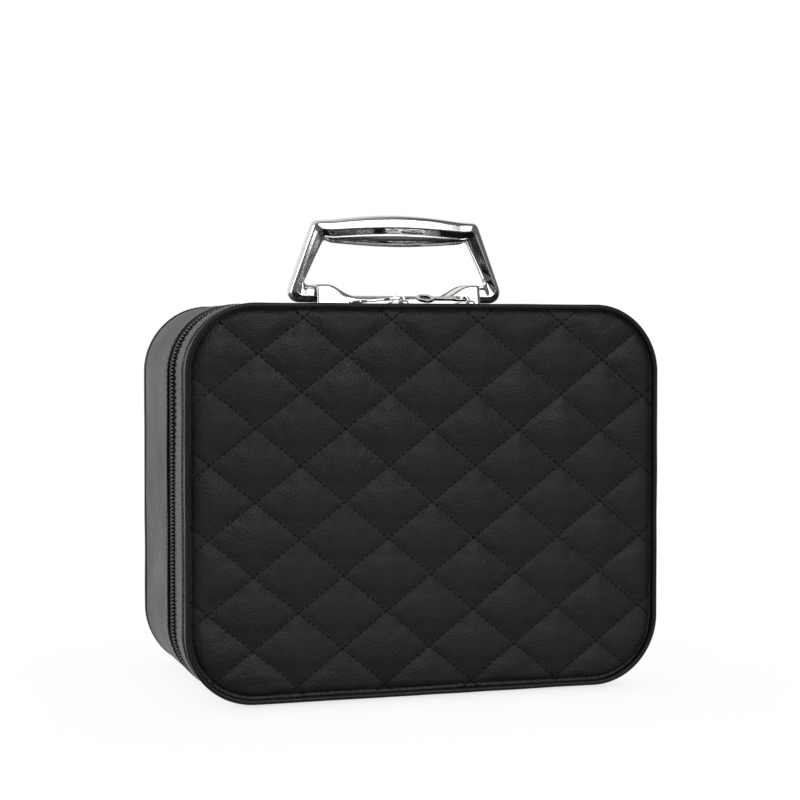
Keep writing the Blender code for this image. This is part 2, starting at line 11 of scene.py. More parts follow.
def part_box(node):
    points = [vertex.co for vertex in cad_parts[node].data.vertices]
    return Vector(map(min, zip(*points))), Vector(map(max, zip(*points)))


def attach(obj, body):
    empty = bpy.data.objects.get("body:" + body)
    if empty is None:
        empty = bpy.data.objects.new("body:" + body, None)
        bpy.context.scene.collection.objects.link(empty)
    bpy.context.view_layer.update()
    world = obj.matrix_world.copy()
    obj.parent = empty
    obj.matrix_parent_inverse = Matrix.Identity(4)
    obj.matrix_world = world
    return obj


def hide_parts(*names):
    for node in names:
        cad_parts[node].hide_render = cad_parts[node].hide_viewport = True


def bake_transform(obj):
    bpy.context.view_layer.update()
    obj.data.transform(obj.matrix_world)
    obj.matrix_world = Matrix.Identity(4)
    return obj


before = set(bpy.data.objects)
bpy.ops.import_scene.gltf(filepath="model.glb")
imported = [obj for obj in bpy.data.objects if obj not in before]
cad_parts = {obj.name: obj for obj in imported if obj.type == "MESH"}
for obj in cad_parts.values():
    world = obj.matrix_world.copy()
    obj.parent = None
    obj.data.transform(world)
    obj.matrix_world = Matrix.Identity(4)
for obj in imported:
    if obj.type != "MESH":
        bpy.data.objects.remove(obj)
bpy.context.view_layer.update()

# ---------------------------------------------------------------- sizes, in metres
BAND_LOW, BAND_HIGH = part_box("body_band")
HALF_WIDTH = BAND_HIGH.x
HEIGHT = BAND_HIGH.z
CORNER = 0.0365
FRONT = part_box("front_piping")[0].y
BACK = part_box("back_piping")[1].y
LID_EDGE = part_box("lid_band")[1].y
BODY_EDGE = BAND_LOW.y
ZIP_Y = (LID_EDGE + BODY_EDGE) / 2
ZIP_END_X = 0.080
TAPE_END_X = 0.0735           # the tapes run on under the hinge strip
TOOTH_PITCH = 0.00190
LEATHER = 0.0014              # thickness of the side leather
EDGE_SEAM = 0.0026            # from a half's edge at the zip to its sewn line
PIPING_RADIUS = 0.00135
PIPING_INSET = 0.0010
PIPING_ARC = (27.0, -266.0)   # degrees round the cord, from the tongue's inner to its outer side
PIPING_TONGUE = ((0.0009, 0.0048), (0.0022, 0.0040))      # inset, and depth behind the face

PANEL_INSET = 0.0029          # edge of the front and back covers, beside the piping
PANEL_RIM = 0.0038            # how far that edge lies behind the front or before the back
PANEL_BACK = 0.0045           # how far the covers' flat backs lie in from the same faces
PANEL_CUTS = 192              # straight cuts that trim a cover to its outline
PANEL_SHIFT = Vector((0.0005, 0.0005))    # the front cover is sewn on a little off centre
QUILT_X = 0.0238              # half of a diamond's width
QUILT_Z = 0.0190              # half of its height
QUILT_CENTER = Vector((0.0015, 0.1006))   # the point that the diamonds are turned about
QUILT_ROW = 0.0960            # from that point up to the upper row of crossings
QUILT_TURN = math.radians(1.06)           # clockwise, seen from the front
STITCH_DEPTH = FRONT + 0.0023             # the front cover's sewn lines
STITCH_LENGTH = 0.0025
STITCH_PITCH = 0.0034
THREAD = 0.00033

HANDLE_Y = 0.002
PLATE_HALF_LENGTH = 0.0469
PULL_PIVOT_RISE = 0.0038      # of a pull's middle above the case


# ---------------------------------------------------------------- the outline of the case
STRAIGHT_X = 2 * (HALF_WIDTH - CORNER)
STRAIGHT_Z = HEIGHT - 2 * CORNER
QUARTER = CORNER * math.pi / 2
OUTLINE = [
    ("line", STRAIGHT_X / 2), ("turn", QUARTER), ("line", STRAIGHT_Z), ("turn", QUARTER),
    ("line", STRAIGHT_X), ("turn", QUARTER), ("line", STRAIGHT_Z), ("turn", QUARTER),
    ("line", STRAIGHT_X / 2),
]
PERIMETER = sum(length for _, length in OUTLINE)


def outline_at(run):
    """Point and outward direction on the outline, run metres anticlockwise from the bottom's middle."""
    place = Vector((0.0, 0.0))
    heading = 0.0
    left = run % PERIMETER
    for kind, length in OUTLINE:
        part = min(left, length)
        left -= part
        if kind == "line":
            place = place + part * Vector((math.cos(heading), math.sin(heading)))
        else:
            center = place + CORNER * Vector((-math.sin(heading), math.cos(heading)))
            heading += part / CORNER
            place = center + CORNER * Vector((math.sin(heading), -math.cos(heading)))
        if left <= 0:
            break
    return place, Vector((math.sin(heading), -math.cos(heading)))


def outline_runs(step, start=0.0, end=PERIMETER, closed=True):
    """Evenly spaced places along the outline, about a step apart."""
    count = max(2, round((end - start) / step))
    steps = count if closed else count + 1
    return [start + (end - start) * i / count for i in range(steps)]


def edge_distance(x, z, inset):
    """Distance in from the outline that lies inset inside the case outline; negative outside it."""
    radius = CORNER - inset
    dx = abs(x) - (HALF_WIDTH - CORNER)
    dz = abs(z - HEIGHT / 2) - (HEIGHT / 2 - CORNER)
    if dx > 0 and dz > 0:
        return radius - math.hypot(dx, dz)
    return radius - max(dx, dz)


# ---------------------------------------------------------------- mesh helpers
def piece(name, vertices, faces, material, body, replaces=(), sharp=None):
    """A shaded mesh that rides on a body and stands for the named CAD nodes."""
    mesh = bpy.data.meshes.new(name)
    mesh.from_pydata([tuple(v) for v in vertices], [], faces)
    builder = bmesh.new()
    builder.from_mesh(mesh)
    bmesh.ops.recalc_face_normals(builder, faces=builder.faces)
    builder.to_mesh(mesh)
    builder.free()
    return finish_piece(name, mesh, material, body, replaces, sharp)


def finish_piece(name, mesh, material, body, replaces=(), sharp=None):
    """A shaded piece of a mesh, or of a bmesh, which is used up."""
    if isinstance(mesh, bmesh.types.BMesh):
        builder, mesh = mesh, bpy.data.meshes.new(name)
        builder.to_mesh(mesh)
        builder.free()
    mesh.materials.clear()
    mesh.materials.append(material)
    mesh.shade_smooth()
    if sharp:
        mesh.set_sharp_from_angle(angle=math.radians(sharp))
    item = bpy.data.objects.new(name, mesh)
    bpy.context.scene.collection.objects.link(item)
    if body:
        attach(item, body)
    if replaces:
        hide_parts(*replaces)
    return item


def grid_faces(rows, columns, closed_rows, closed_columns, cap_rows=False, cap_columns=False):
    """Quads over rows x columns points, with optional lids over the open ends."""
    faces = []
    for r in range(rows if closed_rows else rows - 1):
        for c in range(columns if closed_columns else columns - 1):
            r2, c2 = (r + 1) % rows, (c + 1) % columns
            faces.append((r * columns + c, r * columns + c2, r2 * columns + c2, r2 * columns + c))
    if cap_rows:
        faces.append(tuple(range(columns)))
        faces.append(tuple((rows - 1) * columns + c for c in range(columns)))
    if cap_columns:
        faces.append(tuple(r * columns for r in range(rows)))
        faces.append(tuple(r * columns + columns - 1 for r in range(rows)))
    return faces


def fillet(corners, steps=4, closed=True):
    """Rounds each (a, b, reach) corner: reach is how far the round starts before the corner."""
    points = []
    count = len(corners)
    for i, (a, b, reach) in enumerate(corners):
        here = Vector((a, b))
        ends = not closed and i in (0, count - 1)
        if reach == 0 or ends:
            points.append((a, b))
            continue
        before = here + (Vector(corners[i - 1][:2]) - here).normalized() * reach
        after = here + (Vector(corners[(i + 1) % count][:2]) - here).normalized() * reach
        for step in range(steps + 1):
            t = step / steps
            spot = before * (1 - t) ** 2 + here * 2 * t * (1 - t) + after * t ** 2
            points.append((spot.x, spot.y))
    return points


def refine(points, longest, closed=True):
    """Adds points so that no side is longer than given."""
    refined = []
    count = len(points)
    for i in range(count if closed else count - 1):
        start, end = Vector(points[i]), Vector(points[(i + 1) % count])
        parts = max(1, math.ceil((end - start).length / longest))
        refined += [tuple(start.lerp(end, part / parts)) for part in range(parts)]
    if not closed:
        refined.append(points[-1])
    return refined


def softness(amount, scale, seed):
    """A gentle unevenness of the skin, as a function of place."""
    shift = Vector((seed * 3.7, seed * 1.3, seed * 2.1))

    def offset(x, y, z):
        return amount * noise.noise(Vector((x, y, z)) * scale + shift)

    return offset


def sweep(name, profile, runs, material, body, replaces=(), closed_run=True,
          closed_profile=True, uneven=None, sharp=None):
    """Carries a profile of (inset, y) points along the case outline."""
    vertices = []
    distances = []
    for run in runs:
        place, outward = outline_at(run)
        for inset, y in profile:
            spot = place - outward * inset
            if uneven:
                spot = spot + outward * uneven(spot.x, y, spot.y)
            vertices.append((spot.x, y, spot.y))
            distances.append(run)
    faces = grid_faces(len(runs), len(profile), closed_run, closed_profile,
                       cap_rows=not closed_run, cap_columns=not closed_profile)
    item = piece(name, vertices, faces, material, body, replaces, sharp)
    along = item.data.attributes.new("along", "FLOAT", "POINT")
    along.data.foreach_set("value", distances)
    return item


def rounded_box(low, high, radius, longest=0.004, arc_steps=3):
    """A bmesh of a box with round edges and corners."""
    low, high = Vector(low), Vector(high)
    middle, half = (low + high) / 2, (high - low) / 2
    marks = []
    for axis in range(3):
        core = half[axis] - radius
        inner = max(1, math.ceil(2 * core / longest))
        line = [-core + 2 * core * i / inner for i in range(inner + 1)]
        ends = [radius * math.tan(math.radians(45) * (i + 1) / arc_steps) for i in range(arc_steps)]
        marks.append([-core - e for e in reversed(ends)] + line + [core + e for e in ends])
    builder = bmesh.new()
    for axis in range(3):
        a, b = (axis + 1) % 3, (axis + 2) % 3
        for sign in (-1, 1):
            rows = []
            for u in marks[a]:
                row = []
                for v in marks[b]:
                    spot = Vector((0, 0, 0))
                    spot[axis], spot[a], spot[b] = sign * half[axis], u, v
                    core = Vector([max(-half[k] + radius, min(half[k] - radius, spot[k]))
                                   for k in range(3)])
                    spot = core + (spot - core).normalized() * radius
                    row.append(builder.verts.new(middle + spot))
                rows.append(row)
            for r in range(len(rows) - 1):
                for c in range(len(rows[0]) - 1):
                    builder.faces.new((rows[r][c], rows[r][c + 1], rows[r + 1][c + 1], rows[r + 1][c]))
    bmesh.ops.remove_doubles(builder, verts=builder.verts, dist=1e-6)
    bmesh.ops.recalc_face_normals(builder, faces=builder.faces)
    return builder


def soft_block(name, low, high, radius, material, body, replaces=(), uneven=0.0, seed=1,
               longest=0.004, arc_steps=3):
    """A padded slab with round edges and a slightly uneven skin."""
    builder = rounded_box(low, high, radius, longest, arc_steps)
    shift = Vector((seed * 5.3, seed, seed * 2.9))
    builder.normal_update()
    moves = [(v, v.normal * uneven * noise.noise(v.co * 60 + shift)) for v in builder.verts]
    for vertex, move in moves:
        vertex.co += move
    return finish_piece(name, builder, material, body, replaces)


def apply_modifiers(item):
    """Keeps the modified shape as the piece's own mesh."""
    shape = item.evaluated_get(bpy.context.evaluated_depsgraph_get())
    mesh = bpy.data.meshes.new_from_object(shape)
    item.modifiers.clear()
    item.data = mesh


def subdivide(item, levels):
    smooth = item.modifiers.new("smooth", "SUBSURF")
    smooth.levels = levels
    smooth.render_levels = levels


class Threads:
    """Collects short sewn stitches, or the loops of a coil, into one mesh."""

    def __init__(self):
        self.vertices = []
        self.faces = []

    def add(self, start, end, outward, radius=THREAD, sides=6):
        start, end, outward = Vector(start), Vector(end), Vector(outward)
        side = (end - start).cross(outward).normalized()
        rings = ((0.0, 0.55, -1.3), (0.12, 1.0, -0.3), (0.5, 1.1, 0.35), (0.88, 1.0, -0.3),
                 (1.0, 0.55, -1.3))
        base = len(self.vertices)
        for share, size, lift in rings:
            middle = start.lerp(end, share) + outward * radius * lift
            for k in range(sides):
                angle = 2 * math.pi * k / sides
                around_it = side * math.cos(angle) + outward * math.sin(angle)
                self.vertices.append(middle + around_it * radius * size)
        for face in grid_faces(len(rings), sides, False, True, cap_rows=True):
            self.faces.append(tuple(base + index for index in face))

    def make(self, name, material, body, replaces=()):
        return piece(name, self.vertices, self.faces, material, body, replaces)


# ---------------------------------------------------------------- node helpers
def start_material(name):
    """A node material, its shader, and the place on the piece that its patterns follow."""
    material = bpy.data.materials.new(name)
    material.use_nodes = True
    tree = material.node_tree
    return material, tree, tree.nodes["Principled BSDF"], place_coordinates(tree)


def add_node(tree, kind, inputs=None, **settings):
    made = tree.nodes.new(kind)
    for key, value in settings.items():
        setattr(made, key, value)
    for key, value in (inputs or {}).items():
        if isinstance(value, bpy.types.NodeSocket):
            tree.links.new(value, made.inputs[key])
        else:
            made.inputs[key].default_value = value
    return made


def place_coordinates(tree):
    return add_node(tree, "ShaderNodeTexCoord").outputs["Object"]


def noise_field(tree, vector, scale, detail=3.0, roughness=0.55):
    made = add_node(tree, "ShaderNodeTexNoise", {
        "Vector": vector, "Scale": scale, "Detail": detail, "Roughness": roughness})
    return made.outputs["Fac"]


def mapped(tree, value, low, high, from_low=0.0, from_high=1.0):
    made = add_node(tree, "ShaderNodeMapRange", {
        "Value": value, "From Min": from_low, "From Max": from_high, "To Min": low, "To Max": high})
    return made.outputs["Result"]


def math_node(tree, operation, first, second=0.0, third=0.0):
    made = add_node(tree, "ShaderNodeMath", {0: first, 1: second, 2: third}, operation=operation)
    return made.outputs[0]


def color_ramp(tree, value, stops):
    made = add_node(tree, "ShaderNodeValToRGB", {"Fac": value})
    ramp = made.color_ramp
    while len(ramp.elements) < len(stops):
        ramp.elements.new(0.5)
    for element, (position, color) in zip(ramp.elements, stops):
        element.position = position
        element.color = (*color, 1.0)
    return made.outputs["Color"]


def link_shader(tree, shader, color, roughness, height=None, relief=0.0):
    """Gives a shader its colour, its roughness and its bump."""
    tree.links.new(color, shader.inputs["Base Color"])
    tree.links.new(roughness, shader.inputs["Roughness"])
    if height is not None:
        bump = add_node(tree, "ShaderNodeBump", {"Height": height, "Distance": relief, "Strength": 1.0})
        tree.links.new(bump.outputs["Normal"], shader.inputs["Normal"])


def gray(level, tint=(1.0, 1.0, 1.0)):
    return tuple(level * part for part in tint)


# ---------------------------------------------------------------- materials
LEATHER_TINT = (1.14, 0.97, 1.0)


def leather_material(name, dark, light, grain=0.0012, rough=(0.40, 0.56), relief=0.00022):
    """Pebble-grained polyurethane leather with a soft sheen, scuffed lighter here and there."""
    material, tree, shader, place = start_material(name)
    wander = add_node(tree, "ShaderNodeTexNoise", {"Vector": place, "Scale": 420.0, "Detail": 1.0})
    shift = add_node(tree, "ShaderNodeVectorMath", {
        0: wander.outputs["Color"], 1: (0.0009, 0.0009, 0.0009)}, operation="MULTIPLY")
    bent = add_node(tree, "ShaderNodeVectorMath", {0: place, 1: shift.outputs[0]}, operation="ADD")
    pebbles = add_node(tree, "ShaderNodeTexVoronoi", {
        "Vector": bent.outputs[0], "Scale": 1 / grain, "Smoothness": 0.55}, feature="SMOOTH_F1")
    pores = noise_field(tree, place, 2600.0, 2.0)
    broad = noise_field(tree, place, 26.0, 4.0)
    domes = math_node(tree, "SUBTRACT", 1.0, pebbles.outputs["Distance"])
    height = math_node(tree, "MULTIPLY_ADD", pores, 0.25, domes)
    tone = math_node(tree, "MULTIPLY_ADD", broad, 0.6, math_node(tree, "MULTIPLY", height, 0.4))
    color = color_ramp(tree, tone, [(0.42, gray(dark, LEATHER_TINT)), (0.78, gray(light, LEATHER_TINT))])
    gloss = math_node(tree, "ADD", broad, mapped(tree, pores, -0.12, 0.12))
    link_shader(tree, shader, color, mapped(tree, gloss, *rough, 0.3, 0.7), height, relief)
    return material


def tape_material():
    """Herringbone tape: ribs that lean one way and then the other along the zip, in a colour darker than
    black cloth as painted shade of the zip's recess.
    """
    material, tree, shader, place = start_material("zip_tape_weave_painted_shade")
    across = add_node(tree, "ShaderNodeSeparateXYZ", {0: place}).outputs["Y"]
    along = add_node(tree, "ShaderNodeAttribute", attribute_name="along").outputs["Fac"]
    column = math_node(tree, "PINGPONG", across, 0.0011)
    slant = math_node(tree, "MULTIPLY", math_node(tree, "ADD", along, column), 9000.0)
    thread = math_node(tree, "SINE", math_node(tree, "MULTIPLY", across, 11000.0))
    weave = math_node(tree, "MULTIPLY_ADD", thread, 0.35, math_node(tree, "SINE", slant))
    # Both colours lie below black cloth: the weave's ribs, darkened as painted shade of the recess the
    # tape sits in.
    color = color_ramp(tree, mapped(tree, weave, 0.0, 1.0, -1.35, 1.35),
                       [(0.0, gray(0.002)), (1.0, gray(0.008))])
    shader.inputs["Specular IOR Level"].default_value = 0.15
    link_shader(tree, shader, color, mapped(tree, noise_field(tree, place, 900.0), 0.85, 1.0),
                weave, 0.00010)
    return material


def coil_material():
    material, tree, shader, place = start_material("zip_coil_nylon")
    shade = noise_field(tree, place, 700.0, 2.0)
    color = color_ramp(tree, shade, [(0.3, gray(0.010)), (0.7, gray(0.024))])
    link_shader(tree, shader, color, mapped(tree, noise_field(tree, place, 220.0), 0.26, 0.48),
                noise_field(tree, place, 4000.0, 1.0), 0.00003)
    return material


def thread_material(name, level):
    material, tree, shader, place = start_material(name)
    twist = add_node(tree, "ShaderNodeTexWave", {
        "Vector": place, "Scale": 900.0, "Distortion": 1.5}, bands_direction="DIAGONAL").outputs["Fac"]
    color = color_ramp(tree, twist, [(0.0, gray(level * 0.4)), (1.0, gray(level))])
    link_shader(tree, shader, color, mapped(tree, twist, 0.55, 0.8), twist, 0.00005)
    return material


def metal_material(name, level, rough, scratch=0.00002):
    """Polished or plated metal with faint smudges and hairline scratches."""
    material, tree, shader, place = start_material(name)
    shader.inputs["Metallic"].default_value = 1.0
    smudge = noise_field(tree, place, 90.0, 5.0, 0.62)
    stretch = add_node(tree, "ShaderNodeMapping", {"Vector": place, "Scale": (90.0, 2600.0, 2600.0)})
    hairline = noise_field(tree, stretch.outputs["Vector"], 1.0, 2.0)
    color = color_ramp(tree, smudge, [(0.3, gray(level * 0.93)), (0.7, gray(level))])
    wear = math_node(tree, "MULTIPLY_ADD", hairline, 0.3, smudge)
    link_shader(tree, shader, color, mapped(tree, wear, *rough, 0.35, 0.95), hairline, scratch)
    return material


def velvet_material(name, dark, light):
    """Short pile that catches light at its edges and shows stroked patches."""
    material, tree, shader, place = start_material(name)
    shader.inputs["Sheen Weight"].default_value = 0.6
    shader.inputs["Sheen Roughness"].default_value = 0.4
    shader.inputs["Sheen Tint"].default_value = (0.6, 0.6, 0.62, 1.0)
    stroked = noise_field(tree, place, 38.0, 3.0)
    pile = noise_field(tree, place, 3200.0, 3.0, 0.7)
    tone = math_node(tree, "MULTIPLY_ADD", pile, 0.5, math_node(tree, "MULTIPLY", stroked, 0.5))
    color = color_ramp(tree, tone, [(0.35, gray(dark)), (0.65, gray(light))])
    link_shader(tree, shader, color, mapped(tree, stroked, 0.82, 1.0), pile, 0.00025)
    return material


def board_material():
    material, tree, shader, place = start_material("fibre_board_gray")
    stretch = add_node(tree, "ShaderNodeMapping", {"Vector": place, "Scale": (300.0, 1400.0, 300.0)})
    fibres = noise_field(tree, stretch.outputs["Vector"], 1.0, 5.0, 0.7)
    color = color_ramp(tree, fibres, [(0.3, (0.16, 0.115, 0.075)), (0.7, (0.34, 0.26, 0.18))])
    link_shader(tree, shader, color, mapped(tree, fibres, 0.75, 0.95), fibres, 0.0001)
    return material


def mirror_material():
    material, tree, shader, place = start_material("silvered_glass")
    shader.inputs["Metallic"].default_value = 1.0
    haze = noise_field(tree, place, 30.0, 5.0, 0.6)
    color = color_ramp(tree, haze, [(0.3, (0.80, 0.82, 0.82)), (0.7, (0.88, 0.90, 0.90))])
    link_shader(tree, shader, color, mapped(tree, haze, 0.0, 0.07, 0.45, 0.8))
    return material


def plastic_material():
    material, tree, shader, place = start_material("moulded_frame_plastic")
    broad = noise_field(tree, place, 40.0, 3.0)
    color = color_ramp(tree, broad, [(0.3, gray(0.016)), (0.7, gray(0.026))])
    link_shader(tree, shader, color, mapped(tree, broad, 0.28, 0.42),
                noise_field(tree, place, 1500.0, 2.0), 0.00003)
    return material


PAINT = {
    "leather": leather_material("pebbled_leather", 0.012, 0.022),
    # The quilted front is a lighter copy of the side leather: painted light that lifts the front, which
    # the studio lights less.
    "quilt": leather_material("quilted_pebbled_leather_painted_light", 0.014, 0.023, rough=(0.46, 0.62)),
    "cord": leather_material("piping_leather", 0.008, 0.014, grain=0.0009, relief=0.00007),
    "tape": tape_material(),
    "coil": coil_material(),
    "thread": thread_material("black_thread", 0.005),
    "chrome": metal_material("polished_chrome", 0.80, (0.03, 0.13)),
    "zinc": metal_material("plated_steel", 0.55, (0.22, 0.42), 0.00004),
    "velvet": velvet_material("velvet_lining", 0.028, 0.058),
    "insert": velvet_material("velvet_insert", 0.040, 0.078),
    "board": board_material(),
    "mirror": mirror_material(),
    "plastic": plastic_material(),
}


# ---------------------------------------------------------------- cloth and pads
CLOTH = {
    "quality": 8, "mass": 0.02, "tension_stiffness": 12, "compression_stiffness": 12,
    "shear_stiffness": 6, "bending_stiffness": 0.02, "tension_damping": 4, "bending_damping": 0.4,
    "air_damping": 2, "use_pressure": True, "vertex_group_mass": "held",
}


def relax(item, held, pressure, slack, frames, farthest):
    """Inflates a sewn sheet with the cloth solver, holding some points, and keeps the result."""
    group = item.vertex_groups.new(name="held")
    group.add(held, 1.0, "REPLACE")
    cloth = item.modifiers.new("foam", "CLOTH")
    cloth.point_cache.frame_start = 1
    cloth.point_cache.frame_end = frames
    for setting, value in CLOTH.items():
        setattr(cloth.settings, setting, value)
    cloth.settings.shrink_min = -slack
    cloth.settings.uniform_pressure_force = pressure
    cloth.settings.effector_weights.gravity = 0
    cloth.collision_settings.use_collision = False
    scene = bpy.context.scene
    for step in range(1, frames + 1):
        scene.frame_set(step)
    shape = item.evaluated_get(bpy.context.evaluated_depsgraph_get())
    before, after = np.empty((2, len(item.data.vertices) * 3))
    item.data.vertices.foreach_get("co", before)
    shape.data.vertices.foreach_get("co", after)
    move = (after - before).reshape(-1, 3)
    length = np.linalg.norm(move, axis=1)
    share = np.minimum(1.0, farthest / np.maximum(length, 1e-9))
    item.modifiers.clear()
    item.vertex_groups.clear()
    item.data.vertices.foreach_set("co", before + (move * share[:, None]).ravel())
    item.data.update()
    scene.frame_set(1)


def close_behind(item, y):
    """Turns an open sheet into a closed pad with a flat back at y."""
    builder = bmesh.new()
    builder.from_mesh(item.data)
    rim = [edge for edge in builder.edges if edge.is_boundary]
    walls = bmesh.ops.extrude_edge_only(builder, edges=rim)["geom"]
    for element in walls:
        if isinstance(element, bmesh.types.BMVert):
            element.co.y = y
    loop = [edge for edge in builder.edges if edge.is_boundary]
    bmesh.ops.contextual_create(builder, geom=loop)
    bmesh.ops.recalc_face_normals(builder, faces=builder.faces)
    builder.to_mesh(item.data)
    builder.free()
    item.data.shade_smooth()


def finish_pad(item, back):
    """Smooths a sewn sheet and closes it behind."""
    subdivide(item, 1)
    apply_modifiers(item)
    close_behind(item, back)


def face_front(builder):
    """Turns the faces of an open sheet to the front."""
    if sum(face.normal.y for face in builder.faces) > 0:
        bmesh.ops.reverse_faces(builder, faces=builder.faces)


def trim_to_panel(builder, shift, sliver):
    """Cuts a flat sheet to the outline inside the piping, and merges what the cuts leave too small."""
    for cut in range(PANEL_CUTS):
        place, outward = outline_at(PERIMETER * (cut + 0.5) / PANEL_CUTS)
        edge = place - outward * PANEL_INSET + shift
        bmesh.ops.bisect_plane(
            builder, geom=builder.verts[:] + builder.edges[:] + builder.faces[:], dist=2e-5,
            plane_co=(edge.x, 0, edge.y), plane_no=(outward.x, 0, outward.y), clear_outer=True)
    bmesh.ops.remove_doubles(builder, verts=builder.verts, dist=sliver)


# ---------------------------------------------------------------- front and back covers
def turned(spot, angle):
    return Matrix.Rotation(angle, 2) @ spot


def panel_distance(x, z):
    """Distance in from the edge of the quilted cover."""
    return edge_distance(x - PANEL_SHIFT.x, z - PANEL_SHIFT.y, PANEL_INSET)


def quilt_lines(x, z):
    """Where a point lies in the diamonds: both numbers are whole on a sewn line."""
    across, up = turned(Vector((x, z)) - QUILT_CENTER, QUILT_TURN)
    a, b = across / QUILT_X, (up - QUILT_ROW) / QUILT_Z
    return (a + b - 1) / 2, (a - b - 1) / 2


def quilt_place(u, v):
    """The x and z of a point of the diamond lattice."""
    straight = Vector((QUILT_X * (u + v + 1), QUILT_ROW + QUILT_Z * (u - v)))
    return QUILT_CENTER + turned(straight, -QUILT_TURN)


def build_quilted_cover():
    """The quilted front: a sheet over foam, sewn down along the diamonds and at the piping."""
    per_side = 10             # faces along a diamond's side
    low, high = -9 * per_side, 4 * per_side
    builder = bmesh.new()
    made = {}

    def vertex(i, j):
        if (i, j) not in made:
            x, z = quilt_place(i / per_side, j / per_side)
            made[(i, j)] = builder.verts.new((x, 0.0, z))
        return made[(i, j)]

    for i in range(low, high):
        for j in range(-high, -low):
            x, z = quilt_place((i + 0.5) / per_side, (j + 0.5) / per_side)
            if panel_distance(x, z) > -0.004:
                builder.faces.new((vertex(i, j), vertex(i + 1, j), vertex(i + 1, j + 1), vertex(i, j + 1)))
    trim_to_panel(builder, PANEL_SHIFT, 0.0004)
    crease = builder.edges.layers.float.new("crease_edge")
    builder.verts.ensure_lookup_table()
    rim, puff, roll_width = FRONT + PANEL_RIM, 0.00143, 0.0013
    held, sewn = [], set()
    for index, point in enumerate(builder.verts):
        x, z = point.co.x, point.co.z
        u, v = quilt_lines(x, z)
        inside = panel_distance(x, z)
        on_line = min(abs(u - round(u)), abs(v - round(v))) < 0.02
        crown = abs(math.sin(math.pi * u) * math.sin(math.pi * v)) ** 0.5
        roll = 1 - math.exp(-max(inside, 0.0) / roll_width)
        wander = 0.0003 * noise.noise(Vector((x, 0.3, z)) * 25)
        point.co.y = rim + (STITCH_DEPTH - rim - puff * crown) * roll + wander
        if point.is_boundary:
            point.co.y = rim
            held.append(index)
        elif on_line and inside > 0.0011:
            held.append(index)
            sewn.add(index)
    for edge in builder.edges:
        if edge.verts[0].index in sewn and edge.verts[1].index in sewn:
            edge[crease] = 0.45
    bmesh.ops.recalc_face_normals(builder, faces=builder.faces)
    face_front(builder)
    cover = finish_piece("quilted_cover", builder, PAINT["quilt"], None)
    relax(cover, held, pressure=60.0, slack=0.012, frames=24, farthest=0.0030)
    finish_pad(cover, FRONT + PANEL_BACK)
    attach(cover, "lid")
    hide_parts("quilted_panel")


def build_quilt_stitches():
    """Thread along both sets of sewn lines; the last stitch of a line ends under the piping."""
    threads = Threads()
    far = 14
    y = STITCH_DEPTH - 0.00028
    for across in (False, True):
        for row in range(-12, 13):
            start = quilt_place(row, -far) if across else quilt_place(-far, row)
            end = quilt_place(row, far) if across else quilt_place(far, row)
            direction = (end - start).normalized()
            for k in range(int((end - start).length / STITCH_PITCH)):
                first = start + direction * k * STITCH_PITCH
                last = first + direction * STITCH_LENGTH
                if min(panel_distance(*first), panel_distance(*last)) >= -0.0008:
                    threads.add((first.x, y, first.y), (last.x, y, last.y), (0, -1, 0))
    threads.make("quilt_stitches", PAINT["thread"], "lid")


def build_back_cover():
    """The plain padded panel at the back, crowned a little and drawn in at its piping."""
    rows, columns = 60, 76
    builder = bmesh.new()
    grid = [[builder.verts.new(((2 * c / columns - 1) * HALF_WIDTH, 0.0, HEIGHT * r / rows))
             for c in range(columns + 1)] for r in range(rows + 1)]
    for r in range(rows):
        for c in range(columns):
            middle = (grid[r][c].co + grid[r + 1][c + 1].co) / 2
            if edge_distance(middle.x, middle.z, PANEL_INSET) > -0.005:
                builder.faces.new((grid[r][c], grid[r][c + 1], grid[r + 1][c + 1], grid[r + 1][c]))
    bmesh.ops.delete(builder, geom=[v for v in builder.verts if not v.link_faces], context="VERTS")
    trim_to_panel(builder, Vector((0.0, 0.0)), 0.0005)
    roll_width, roll_height, middle_width, middle_height = 0.0035, 0.0033, 0.04, 0.0009
    for point in builder.verts:
        inside = max(edge_distance(point.co.x, point.co.z, PANEL_INSET), 0.0)
        crown = 1 - math.exp(-inside / roll_width)
        swell = middle_height * (1 - math.exp(-inside / middle_width))
        dent = 0.0004 * noise.noise(point.co * 14 + Vector((0, 7, 0)))
        point.co.y = BACK - PANEL_RIM + (roll_height + swell + dent) * crown
    cover = finish_piece("back_cover", builder, PAINT["leather"], None)
    finish_pad(cover, BACK - PANEL_BACK)
    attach(cover, "case_body")
    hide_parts("back_panel")


